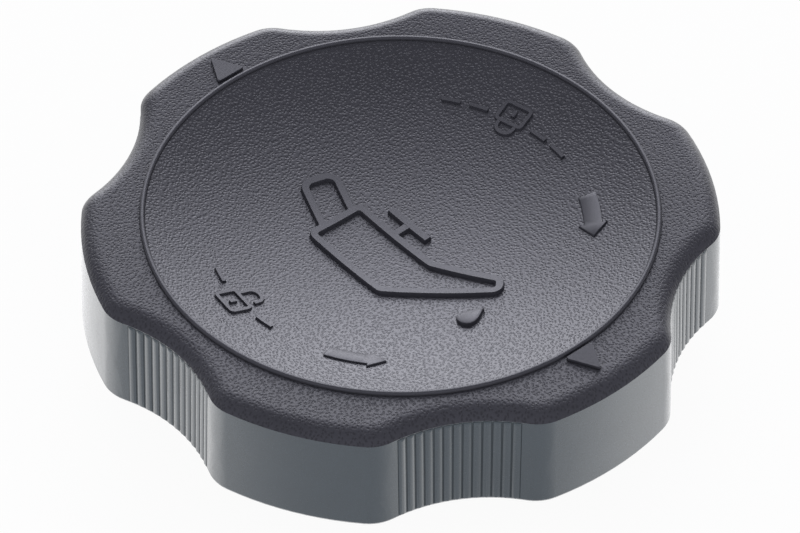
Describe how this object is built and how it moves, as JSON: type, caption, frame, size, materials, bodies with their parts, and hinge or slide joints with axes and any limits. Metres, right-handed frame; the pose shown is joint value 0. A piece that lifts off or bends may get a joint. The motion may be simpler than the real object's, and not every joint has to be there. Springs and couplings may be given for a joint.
{
  "type": "oil filler cap",
  "caption": "Lobed, dished turning cap with serrated finger valleys, a hollow bayonet stub and a flat rubber gasket; closes an engine's oil filler neck.",
  "frame": {"origin": "centre of the gasket's sealing face, where the cap meets the filler neck's rim", "axes": "+Z out of the engine along the cap's turning axis, X through the two bayonet lugs and the two index marks"},
  "size_m": [0.0646, 0.062, 0.0189],
  "materials": {
    "cap_plastic": "dark grey moulded plastic, grained on top and satin on the skirt",
    "gasket_rubber": "matt black rubber"
  },
  "bodies": {
    "root": {"cap_body": "cap_plastic", "gasket": "gasket_rubber"}
  },
  "joints": []
}
